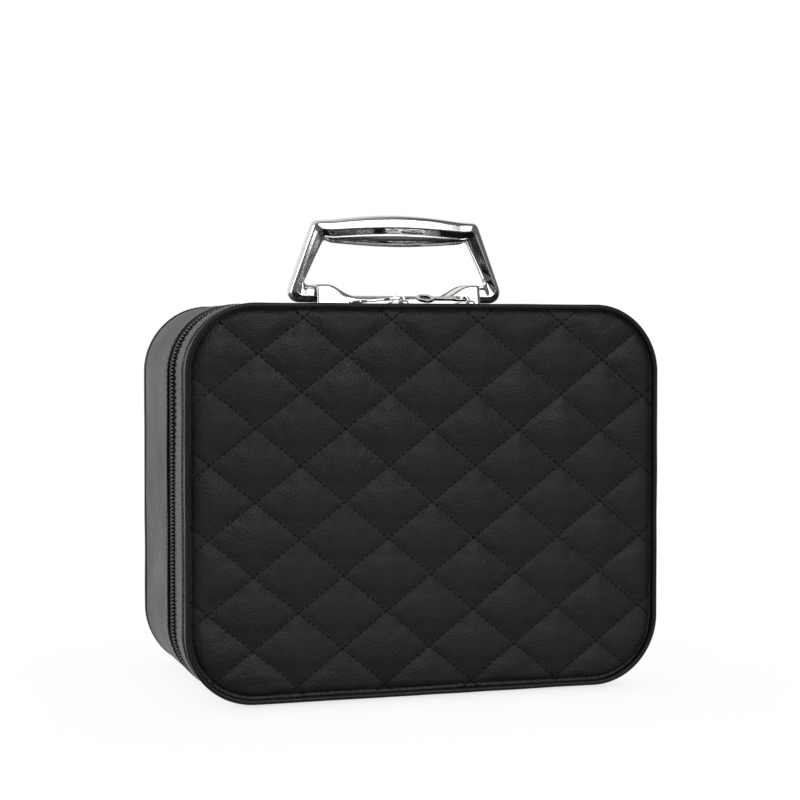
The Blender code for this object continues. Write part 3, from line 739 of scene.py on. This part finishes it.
# ---------------------------------------------------------------- leather bands, piping, linings
def build_bands():
    """The side leather of both halves, turned over beside the zip and under the cover's edge."""
    runs = outline_runs(0.003)
    front = FRONT + 0.0030
    seam = FRONT + 0.0105
    lid_corners = [
        (0.0042, front + 0.0002, 0.0), (0.0022, front, 0.0004), (0.0012, front + 0.0013, 0.0010),
        (0.0001, seam - 0.0048, 0.0018), (0.0013, seam - 0.0003, 0.0004),
        (0.0012, seam + 0.0002, 0.0002), (0.0000, seam + 0.0013, 0.0006),
        (0.0000, LID_EDGE - 0.0052, 0.0010), (0.0000, LID_EDGE - EDGE_SEAM - 0.0004, 0.0003),
        (0.0004, LID_EDGE - EDGE_SEAM, 0.0002), (0.0000, LID_EDGE - EDGE_SEAM + 0.0004, 0.0004),
        (0.0000, LID_EDGE, 0.0010), (LEATHER, LID_EDGE, 0.0006), (LEATHER, LID_EDGE - 0.0060, 0.0),
        (0.0026, front + 0.0014, 0.0004), (0.0042, front + 0.0007, 0.0),
    ]
    back = BACK - 0.0030
    body_corners = [
        (LEATHER, BODY_EDGE, 0.0006), (-0.0004, BODY_EDGE, 0.0008),
        (-0.0002, BODY_EDGE + EDGE_SEAM - 0.0004, 0.0004), (0.0003, BODY_EDGE + EDGE_SEAM, 0.0002),
        (-0.0001, BODY_EDGE + EDGE_SEAM + 0.0004, 0.0003), (0.0001, BODY_EDGE + 0.0075, 0.0020),
        (0.0002, back - 0.0016, 0.0008), (LEATHER, back, 0.0006), (0.0042, back - 0.0002, 0.0),
        (0.0042, back - 0.0007, 0.0), (0.0020, back - 0.0014, 0.0004),
        (LEATHER, BODY_EDGE + 0.0060, 0.0),
    ]
    for name, body, corners, uneven in (
        ("lid", "lid", lid_corners, softness(0.0005, 22, 1)),
        ("body", "case_body", body_corners, softness(0.0006, 18, 2)),
    ):
        sweep(name + "_side_leather", refine(fillet(corners), 0.0045), runs, PAINT["leather"], body,
              (name + "_band",), uneven=uneven)


def build_band_stitches():
    """Sewn lines beside the zip on both halves."""
    count = int(PERIMETER / STITCH_PITCH)
    for name, body, y in (("lid_edge_stitches", "lid", LID_EDGE - EDGE_SEAM),
                          ("body_edge_stitches", "case_body", BODY_EDGE + EDGE_SEAM)):
        threads = Threads()
        for k in range(count):
            run = PERIMETER * k / count
            (start, outward), (end, _) = outline_at(run), outline_at(run + STITCH_LENGTH)
            sunk = outward * 0.0002
            start, end = start - sunk, end - sunk
            threads.add((start.x, y, start.y), (end.x, y, end.y), (outward.x, 0, outward.y))
        threads.make(name, PAINT["thread"], body)


def build_pipings():
    """The round piping, with the tongue that is sewn in between the side leather and the cover."""
    first, last = PIPING_ARC
    steps = 16
    for name, body, face, direction, seed in (("front", "lid", FRONT, 1, 3),
                                              ("back", "case_body", BACK, -1, 4)):
        profile = []
        for k in range(steps + 1):
            angle = math.radians(first + (last - first) * k / steps)
            profile.append((PIPING_INSET + PIPING_RADIUS * math.cos(angle),
                            face + direction * PIPING_RADIUS * (1 + math.sin(angle))))
        profile += [(inset, face + direction * depth) for inset, depth in PIPING_TONGUE]
        if direction < 0:
            profile.reverse()
        sweep(name + "_piping_cord", profile, outline_runs(0.0025), PAINT["cord"], body,
              (name + "_piping",), uneven=softness(0.00018, 45, seed))


def build_linings():
    """Velvet that lines each half and turns over the edge of its board."""
    for name, body, edge, floor, direction in (
        ("lid", "lid", LID_EDGE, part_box("lid_lining")[0].y, -1),
        ("body", "case_body", BODY_EDGE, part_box("body_lining")[1].y, 1),
    ):
        inside = floor - direction * 0.0008
        corners = [
            (0.0180, inside, 0.0), (0.0062, inside, 0.0022),
            (0.0055, edge + direction * 0.0040, 0.0030), (0.0050, edge - direction * 0.0008, 0.0012),
            (0.0028, edge - direction * 0.0008, 0.0008), (0.0024, edge + direction * 0.0012, 0.0006),
            (0.0047, edge + direction * 0.0016, 0.0003), (0.0047, floor, 0.0004), (0.0180, floor, 0.0),
        ]
        profile = refine(fillet(corners, closed=False), 0.005, closed=False)
        sweep(name + "_velvet", profile, outline_runs(0.004), PAINT["velvet"], body,
              (name + "_lining",), closed_profile=False, uneven=softness(0.0003, 60, 5))


# ---------------------------------------------------------------- zip and hinge
def build_zip():
    """On each half the woven tape, which lies under the leather's edge, and its coil."""
    for side, body, direction in (("lid", "lid", -1), ("body", "case_body", 1)):
        near, bend, far = (ZIP_Y + direction * d for d in (0.0003, 0.0102, 0.0148))
        lower = 0.0021
        tape = [(LEATHER, near, 0.0002), (LEATHER, bend, 0.001), (0.00165, far, 0.0001),
                (lower, far, 0.0001), (lower, near, 0.0002)]
        sweep(side + "_tape", refine(fillet(tape), 0.0012),
              outline_runs(0.003, TAPE_END_X, PERIMETER - TAPE_END_X, closed=False),
              PAINT["tape"], body, (side + "_zip_tape",), closed_run=False)
        build_teeth(side, body, direction)


def build_teeth(side, body, direction):
    """Nylon coil: one rounded loop per tooth, with a thicker head where the halves meet."""
    threads = Threads()
    length = PERIMETER - 2 * ZIP_END_X
    count = int(length / TOOTH_PITCH)
    shift = 0.5 if direction > 0 else 0.0
    for k in range(count):
        place, outward = outline_at(ZIP_END_X + length * (k + shift + 0.25) / count)
        head, tail = place - outward * 0.0005, place - outward * 0.0008
        up = Vector((outward.x, 0, outward.y))
        root = Vector((tail.x, ZIP_Y + direction * 0.0040, tail.y))
        tip = Vector((head.x, ZIP_Y + direction * 0.0002, head.y))
        threads.add(root, tip, up, radius=0.00058)
        threads.add(tip + Vector((0, direction * 0.0014, 0)), tip, up, radius=0.00072)
    threads.make(side + "_coil", PAINT["coil"], body)
    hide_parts(side + "_zip_chain")


def build_hinge():
    """The leather strip under the case that both halves hang on."""
    low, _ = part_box("lid_hinge_leaf")
    _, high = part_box("body_hinge_leaf")
    rounding = 0.00045
    builder = rounded_box(low, high, rounding, 0.0016, 2)
    strip = finish_piece("hinge_strip", builder, PAINT["leather"], None,
                         ("lid_hinge_leaf", "body_hinge_leaf"))
    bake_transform(strip)
    for side in ("left", "right"):
        low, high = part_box("zip_end_tab_" + side)
        soft_block("zip_stop_" + side, low, high, rounding, PAINT["leather"], "case_body",
                   ("zip_end_tab_" + side,), longest=0.001, arc_steps=2)


# ---------------------------------------------------------------- handle
# Each half section is a list of (distance in from the outer edge, half depth).
LEG_SECTION = [
    (0.0000, 0.0024), (0.0014, 0.0050), (0.0042, 0.0055), (0.0078, 0.0026),
    (0.0082, 0.0025), (0.0089, 0.0018), (0.0094, 0.0009),
]
GRIP_END_SECTION = [
    (0.0000, 0.0026), (0.0018, 0.0054), (0.0056, 0.0062), (0.0094, 0.0036),
    (0.0099, 0.0040), (0.0113, 0.0029), (0.0120, 0.0012),
]
GRIP_SECTION = [
    (0.0000, 0.0028), (0.0022, 0.0062), (0.0070, 0.0072), (0.0106, 0.0046),
    (0.0113, 0.0053), (0.0150, 0.0044), (0.0174, 0.0014),
]
FOOT_SECTION = [
    (0.0000, 0.0022), (0.0014, 0.0042), (0.0034, 0.0050), (0.0060, 0.0050),
    (0.0074, 0.0045), (0.0088, 0.0032), (0.0096, 0.0014),
]
SECTION_CREASES = (0.0, 0.45, 0.80, 0.85, 0.80, 0.15, 0.30)
FOOT_BOTTOM = 0.0017
FOOT_OUTER_X = 0.0612
FOOT_CORNER = 0.0060
FOOT_FILLET = (0.0502, 0.0132)
TOP_CORNER = 0.0038
TOP_CORNER_CENTER = (0.0447, 0.0430)
TOP_FILLET = (0.0402, 0.0340)
FILLET = 0.0018
GRIP_MIDDLE_RISE = 0.0501


def mix_sections(start, end, share):
    return [tuple(a + (b - a) * share for a, b in zip(p, q)) for p, q in zip(start, end)]


def around(center, radius, degrees):
    angle = math.radians(degrees)
    return Vector((center[0] + radius * math.cos(angle), center[1] + radius * math.sin(angle)))


def corner_stations(center, radius, fillet_center, start, end, sections, steps):
    """Sections that fan out from a small inside radius to the outer corner."""
    stations = []
    for step in range(steps + 1):
        degrees = start + (end - start) * step / steps
        edge = around(center, radius, degrees)
        across = around(fillet_center, FILLET, degrees) - edge
        section = mix_sections(*sections, step / steps)
        reach = across.length / section[-1][0]
        stations.append((edge, across.normalized(), [(d * reach, depth) for d, depth in section]))
    return stations


def between_stations(start, end, steps):
    """Evenly spaced stations strictly between two."""
    stations = []
    for step in range(1, steps):
        share = step / steps
        section = mix_sections(start[2], end[2], share)
        stations.append((start[0].lerp(end[0], share), start[1].lerp(end[1], share), section))
    return stations


def handle_stations():
    """Right half of the handle as (outer edge point, direction inwards, half section)."""
    foot_center = (FOOT_OUTER_X - FOOT_CORNER, FOOT_BOTTOM + FOOT_CORNER)
    top_x, top_z = TOP_CORNER_CENTER
    run = foot_center[0] + FOOT_CORNER - top_x - TOP_CORNER
    lean = math.degrees(math.atan2(run, top_z - foot_center[1]))
    first = (Vector((PLATE_HALF_LENGTH + 0.0003, FOOT_BOTTOM)), Vector((0, 1)), FOOT_SECTION)
    foot = corner_stations(foot_center, FOOT_CORNER, FOOT_FILLET, -90, lean,
                           (FOOT_SECTION, LEG_SECTION), 8)
    top = corner_stations(TOP_CORNER_CENTER, TOP_CORNER, TOP_FILLET, lean, 90,
                          (LEG_SECTION, GRIP_END_SECTION), 6)
    stations = [first, *between_stations(first, foot[0], 4), *foot]
    stations += [*between_stations(foot[-1], top[0], 8), *top]
    grip_steps = 16
    end_rise = top_z + TOP_CORNER
    for step in range(1, grip_steps + 1):
        share = step / grip_steps
        swell = math.sin(share * math.pi / 2)
        rise = end_rise + (GRIP_MIDDLE_RISE - end_rise) * swell
        section = mix_sections(GRIP_END_SECTION, GRIP_SECTION, swell)
        stations.append((Vector((TOP_FILLET[0] * (1 - share), rise)), Vector((0, -1)), section))
    return stations


def build_handle():
    """The cast handle: its sections joined into one skin, creased along the section's edges."""
    stations = handle_stations()
    rows = [(station, 1) for station in stations]
    rows += [(station, -1) for station in reversed(stations[:-1])]
    vertices = []
    for (edge, inwards, section), mirror in rows:
        ring = [(u, -v) for u, v in section] + [(u, v) for u, v in reversed(section)]
        for distance, depth in ring:
            spot = edge + inwards * distance
            vertices.append((spot.x * mirror, HANDLE_Y + depth, HEIGHT + spot.y))
    columns = 2 * len(LEG_SECTION)
    faces = grid_faces(len(rows), columns, False, True, cap_rows=True)
    handle = piece("cast_handle", vertices, faces, PAINT["chrome"], "handle", ("handle",))
    creases = SECTION_CREASES + SECTION_CREASES[::-1]
    weights = handle.data.attributes.new("crease_edge", "FLOAT", "EDGE")
    for edge in handle.data.edges:
        a, b = edge.vertices
        along = abs(a - b) == columns
        end_ring = min(a, b) < columns and max(a, b) < columns
        end_ring = end_ring or min(a, b) >= (len(rows) - 1) * columns
        if along:
            weights.data[edge.index].value = creases[a % columns]
        elif end_ring:
            weights.data[edge.index].value = 0.75
    subdivide(handle, 3)


def plate_rise(x):
    """Height of the handle's base above the case: a low waist that sweeps up to the ears."""
    ear_x, waist_x, ear, waist = 0.0415, 0.0254, 0.0116, 0.0053
    share = min(1.0, max(0.0, (ear_x - abs(x)) / (ear_x - waist_x)))
    return ear - (ear - waist) * (1 - math.cos(share * math.pi)) / 2


def build_base_plate():
    """Cast base with leaning flanks and rounded shoulders."""
    round_end, end_steps, steps = 0.0009, 4, 60
    core = PLATE_HALF_LENGTH - round_end
    places = [-PLATE_HALF_LENGTH + round_end * (1 - math.cos(math.radians(90 * k / end_steps)))
              for k in range(end_steps + 1)]
    places += [-core + 2 * core * k / steps for k in range(1, steps)]
    places += [-x for x in reversed(places[:end_steps + 1])]
    vertices = []
    for x in places:
        past = max(0.0, abs(x) - core) / round_end
        shrink = round_end * (1 - math.sqrt(max(0.0, 1 - past ** 2)))
        top = HEIGHT + plate_rise(x) - shrink
        foot, lean = 0.0100 - shrink, 0.0015
        bottom = HEIGHT + 0.0003
        corners = [
            (-foot, bottom, 0.0), (-foot, bottom + 0.0009, 0.0005), (-foot + lean, top, 0.0016),
            (0.0, top + 0.0003, 0.0010), (foot - lean, top, 0.0016), (foot, bottom + 0.0009, 0.0005),
            (foot, bottom, 0.0),
        ]
        section = fillet(corners, closed=False)
        vertices += [(x, HANDLE_Y + y, z) for y, z in section]
        columns = len(section)
    faces = grid_faces(len(places), columns, False, True, cap_rows=True)
    piece("cast_base", vertices, faces, PAINT["chrome"], "case_body",
          ("handle_base_plate",), sharp=50)


# ---------------------------------------------------------------- sliders and pulls
def curve_plate(name, outlines, half_thickness, rounding, place, material, body, replaces):
    """A flat shape with holes and rounded edges, laid in its place."""
    curve = bpy.data.curves.new(name, "CURVE")
    curve.dimensions = "2D"
    curve.fill_mode = "BOTH"
    curve.extrude = half_thickness - rounding
    curve.bevel_depth = rounding
    curve.bevel_resolution = 3
    curve.offset = -rounding
    for outline in outlines:
        spline = curve.splines.new("POLY")
        spline.points.add(len(outline) - 1)
        for point, (x, y) in zip(spline.points, outline):
            point.co = (x, y, 0, 1)
        spline.use_cyclic_u = True
    source = bpy.data.objects.new(name + "_curve", curve)
    bpy.context.scene.collection.objects.link(source)
    bpy.context.view_layer.update()
    mesh = bpy.data.meshes.new_from_object(source.evaluated_get(bpy.context.evaluated_depsgraph_get()))
    bpy.data.objects.remove(source)
    mesh.transform(place)
    mesh.name = name
    finish_piece(name, mesh, material, body, replaces, sharp=45)


def arc_points(center, radius, start, end, steps):
    return [tuple(around(center, radius, start + (end - start) * k / steps)) for k in range(steps + 1)]


def build_slider(side, x_middle):
    """A domed saddle over the coils with an arched bridge for the pull."""
    body = side + "_slider"
    wide, narrow, half_length = 0.0041, 0.0030, 0.0056
    half = [(-half_length, narrow, 0.0012), (-0.0010, narrow, 0.0012), (0.0016, wide, 0.0015),
            (half_length - 0.0010, wide, 0.0010), (half_length, 0.0016, 0.0012)]
    notch = (half_length - 0.0012, 0.0, 0.0008)
    plan = fillet([(x, -y, reach) for x, y, reach in half] + [notch] + half[::-1])
    levels = ((0.0003, 0.86, 0.0), (0.0006, 0.97, 0.0), (0.0011, 1.0, 0.0), (0.0015, 0.97, 0.15),
              (0.0018, 0.88, 0.6), (0.0019, 0.74, 0.9), (0.0019, 0.40, 1.0))
    nose_rise, root_rise = 0.0011, 0.0001
    vertices = []
    for rise, size, lift in levels:
        for x, y in plan:
            slope = min(1.0, max(0.0, (x - 0.0004) / 0.0022))
            z = rise + lift * (root_rise + (nose_rise - root_rise) * slope * slope * (3 - 2 * slope))
            vertices.append((x_middle + x * size, ZIP_Y + y * size, HEIGHT + z))
    faces = grid_faces(len(levels), len(plan), False, True, cap_rows=True)
    piece(side + "_saddle", vertices, faces, PAINT["chrome"], body, (side + "_slider",), sharp=50)
    steps, foot, half_width = 20, 0.0012, 0.0011
    ring = fillet([(0, -half_width, 0.0003), (0, half_width, 0.0003), (1, half_width, 0.0003),
                   (1, -half_width, 0.0003)], steps=2)
    vertices = []
    for k in range(steps + 1):
        angle = math.pi * k / steps
        outer, inner = (Vector((-span * math.cos(angle), foot + rise * math.sin(angle) ** 0.75))
                        for span, rise in ((0.0036, 0.0050), (0.0027, 0.0041)))
        for share, y in ring:
            spot = outer.lerp(inner, min(1.0, max(0.0, share)))
            vertices.append((x_middle + spot.x, ZIP_Y + y, HEIGHT + spot.y))
    faces = grid_faces(steps + 1, len(ring), False, True, cap_rows=True)
    piece(side + "_bridge", vertices, faces, PAINT["chrome"], body, sharp=50)


def build_pull(side, x_pivot, roll, droop):
    """A pull stamped from plate: an eye round the bridge, a neck and a ring at its end."""
    neck, half_width, eye_half, reach, length = 0.0016, 0.0027, 0.0019, 0.0050, 0.0280
    ring, ring_hole, root = 0.0050, 0.0031, 0.0007
    shoulder = math.degrees(math.asin(neck / ring))
    upper = [(root, half_width, 0.0006), (-reach - 0.0012, half_width, 0.0006),
             (-reach - 0.0030, neck, 0.0008), (-length + 2 * ring - 0.0002, neck, 0.0)]
    lower = [(x, -y, r) for x, y, r in reversed(upper)]
    outline = fillet(upper + lower)
    split = len(outline) // 2
    loop = arc_points((ring - length, 0), ring, shoulder, 360 - shoulder, 28)
    outline = outline[:split - 1] + loop + outline[split + 1:]
    eye = fillet([(x, y, 0.0005) for x, y in ((-root, -eye_half), (-root, eye_half), (-reach, eye_half),
                                              (-reach, -eye_half))], steps=3)
    hole = arc_points((ring - length, 0), ring_hole, 0, 345, 23)
    lean = Matrix.Rotation(-droop, 4, "Y") @ Matrix.Rotation(roll, 4, "X")
    place = Matrix.Translation((x_pivot, ZIP_Y, HEIGHT + PULL_PIVOT_RISE)) @ lean
    curve_plate(side + "_pull_plate", [outline, eye, hole], 0.0008, 0.0003, place,
                PAINT["chrome"], side + "_pull", (side + "_pull",))


# ---------------------------------------------------------------- inside
def build_inside():
    """The velvet-covered dividers and shelves, with the ring cushion between them."""
    boards = ("divider_left", "divider_right", "shelf_left", "shelf_middle", "shelf_right_lower",
              "shelf_right_upper")
    for seed, node in enumerate(boards):
        low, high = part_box(node)
        board = soft_block(node + "_pad", low, high, 0.00145, PAINT["insert"], "case_body",
                           (node,), uneven=0.0004, seed=seed + 3)
    build_ring_cushion()


def build_ring_cushion():
    """Foam rolls in velvet; rings sit in the slots between them."""
    low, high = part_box("ring_cushion")
    rolls, per_roll, columns = 7, 8, 34
    pitch = (high.z - low.z) / rolls
    foot = high.y - 0.016
    depth, end_round = 0.0094, 0.004
    vertices, held = [], []
    for c in range(columns + 1):
        x = low.x + (high.x - low.x) * c / columns
        from_end = min(x - low.x, high.x - x)
        swell = math.sqrt(max(0.0, 1 - (1 - min(1.0, from_end / end_round)) ** 2))
        for r in range(rolls * per_roll + 1):
            share = r / per_roll
            z = low.z + pitch * share
            bulge = abs(math.sin(math.pi * share)) ** 0.6
            y = foot - depth * bulge * (0.35 + 0.65 * swell)
            if r % per_roll == 0 or c in (0, columns):
                held.append(len(vertices))
            if r in (0, rolls * per_roll):
                y = foot + 0.001
            vertices.append((x, y, z))
    faces = grid_faces(columns + 1, rolls * per_roll + 1, False, False)
    cushion = piece("ring_cushion_velvet", vertices, faces, PAINT["insert"], None)
    builder = bmesh.new()
    builder.from_mesh(cushion.data)
    face_front(builder)
    builder.to_mesh(cushion.data)
    builder.free()
    relax(cushion, held, pressure=30.0, slack=0.02, frames=16, farthest=0.0012)
    finish_pad(cushion, high.y)
    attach(cushion, "case_body")
    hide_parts("ring_cushion")


def finish_cad_nodes():
    """The CAD nodes that stay get their material; the mirror frame, backing strip and screws also get
    small rounded edges.
    """
    zinc = ("handle_pin_left", "handle_pin_right", "handle_backing_strip", "handle_screw_left",
            "handle_screw_right")
    boards = ("body_board", "back_board", "lid_board", "front_board")
    for paint, nodes in (("board", boards), ("zinc", zinc), ("plastic", ("mirror_frame",)),
                         ("mirror", ("mirror",))):
        for node in nodes:
            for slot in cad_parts[node].material_slots:
                slot.material = PAINT[paint]
    for node, width in (("mirror_frame", 0.0008), ("handle_backing_strip", 0.0002),
                        ("handle_screw_left", 0.0002), ("handle_screw_right", 0.0002)):
        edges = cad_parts[node].modifiers.new("soft_edges", "BEVEL")
        edges.width = width
        edges.segments = 3
        edges.limit_method = "ANGLE"
        edges.angle_limit = math.radians(40)
        edges.harden_normals = True


# ---------------------------------------------------------------- light, floor, camera
def add_area_light(name, place, target, width, height, power):
    light = bpy.data.lights.new(name, "AREA")
    light.energy = power
    light.shape = "RECTANGLE"
    light.size = width
    light.size_y = height
    item = bpy.data.objects.new(name, light)
    item.location = place
    item.rotation_euler = (Vector(target) - Vector(place)).to_track_quat("-Z", "Y").to_euler()
    item.visible_camera = False
    bpy.context.scene.collection.objects.link(item)


def build_world():
    """A white studio that is darker towards the front, with two black flags that chrome reflects.

    The camera itself sees plain white.
    """
    world = bpy.data.worlds.new("studio")
    world.use_nodes = True
    bpy.context.scene.world = world
    tree = world.node_tree
    background = tree.nodes["Background"]
    direction = add_node(tree, "ShaderNodeTexCoord").outputs["Generated"]
    parts = add_node(tree, "ShaderNodeSeparateXYZ", {0: direction})
    forward = mapped(tree, parts.outputs["Y"], 0.0, 1.0, -1.0, 1.0)
    warm = (1.03, 1.0, 0.975)
    surround = color_ramp(tree, forward, [(0.0, gray(0.13, warm)), (0.35, gray(0.15, warm)),
                                          (0.62, gray(0.55, warm)), (1.0, gray(0.97, warm))])
    shares = []
    for towards, black, rim, core in (((0.30, 0.954, 0.0), 0.12, 0.945, 0.985),
                                      ((0.62, 0.32, 0.716), 0.10, 0.85, 0.95)):
        near = add_node(tree, "ShaderNodeVectorMath", {0: direction, 1: towards},
                        operation="DOT_PRODUCT").outputs["Value"]
        shares.append(mapped(tree, near, 1.0, black, rim, core))
    flagged = add_node(tree, "ShaderNodeVectorMath", {
        0: surround, "Scale": math_node(tree, "MULTIPLY", *shares)}, operation="SCALE").outputs[0]
    seen = add_node(tree, "ShaderNodeLightPath").outputs["Is Camera Ray"]
    color = add_node(tree, "ShaderNodeMix", {"Factor": seen, 6: flagged, 7: (1.0, 1.0, 1.0, 1.0)},
                     data_type="RGBA").outputs[2]
    tree.links.new(color, background.inputs["Color"])
    background.inputs["Strength"].default_value = 1.0


def build_floor():
    """A clear ground with a painted contact shadow, so that the opened lid shows below it."""
    half = 3.0
    mesh = bpy.data.meshes.new("floor")
    corners = [(-half, -half, 0), (half, -half, 0), (half, half, 0), (-half, half, 0)]
    mesh.from_pydata(corners, [], [(0, 1, 2, 3)])
    floor = bpy.data.objects.new("floor", mesh)
    bpy.context.scene.collection.objects.link(floor)
    material = bpy.data.materials.new("pale_floor")
    material.use_nodes = True
    tree = material.node_tree
    tree.nodes.remove(tree.nodes["Principled BSDF"])
    parts = add_node(tree, "ShaderNodeSeparateXYZ", {0: place_coordinates(tree)})
    squares = []
    for axis, reach in (("X", HALF_WIDTH - CORNER), ("Y", BACK - 0.004)):
        size = math_node(tree, "ABSOLUTE", parts.outputs[axis])
        past = math_node(tree, "MAXIMUM", math_node(tree, "SUBTRACT", size, reach), 0.0)
        squares.append(math_node(tree, "MULTIPLY", past, past))
    away = math_node(tree, "SQRT", math_node(tree, "ADD", *squares))
    close, wide = (math_node(tree, "POWER", 0.5, math_node(tree, "DIVIDE", away, reach))
                   for reach in (0.006, 0.030))
    shade = math_node(tree, "MULTIPLY_ADD", close, 0.36, math_node(tree, "MULTIPLY", wide, 0.07))
    light = color_ramp(tree, shade, [(0.0, gray(1.0)), (1.0, gray(0.0))])
    clear = add_node(tree, "ShaderNodeBsdfTransparent", {"Color": light})
    tree.links.new(clear.outputs[0], tree.nodes["Material Output"].inputs["Surface"])
    mesh.materials.append(material)
    floor.visible_shadow = False
    floor.visible_diffuse = False
    floor.visible_glossy = False


def build_camera():
    """Looks slightly down on the case from the front and its left."""
    downwards, aside = 1.84, -17.47
    camera = bpy.data.cameras.new("camera")
    camera.lens = 83.107
    camera.sensor_width = 36.0
    camera.clip_start = 0.05
    item = bpy.data.objects.new("camera", camera)
    item.location = (-0.3052, -0.9769, 0.1859)
    item.rotation_euler = (math.radians(90 - downwards), 0.0, math.radians(aside))
    bpy.context.scene.collection.objects.link(item)
    bpy.context.scene.camera = item


def build_studio():
    build_camera()
    build_world()
    build_floor()
    middle = (0.0, 0.0, 0.12)
    add_area_light("front softbox", (0.22, -1.36, 0.93), middle, 0.95, 0.95, 6.1)
    add_area_light("low strip", (0.42, -1.36, 0.28), (0.0, 0.0, 0.24), 0.36, 0.32, 0.5)
    add_area_light("left softbox", (-1.5, 0.5, 0.5), middle, 0.8, 1.2, 12.0)
    add_area_light("floor bounce", (0.0, -0.21, 0.03), (0.0, FRONT, 0.05), 0.46, 0.05, 0.028)
    bpy.context.scene.view_settings.view_transform = "Standard"


# ---------------------------------------------------------------- everything
build_studio()
build_quilted_cover()
build_quilt_stitches()
build_back_cover()
build_bands()
build_band_stitches()
build_pipings()
build_linings()
build_zip()
build_hinge()
build_handle()
build_base_plate()
for slider_side, slider_x, pull_roll, pull_droop in (
    ("left", -0.0052, 0.0, math.radians(5)), ("right", 0.0330, math.radians(22), 0.0),
):
    build_slider(slider_side, slider_x)
    build_pull(slider_side, slider_x, pull_roll, pull_droop)
build_inside()
finish_cad_nodes()
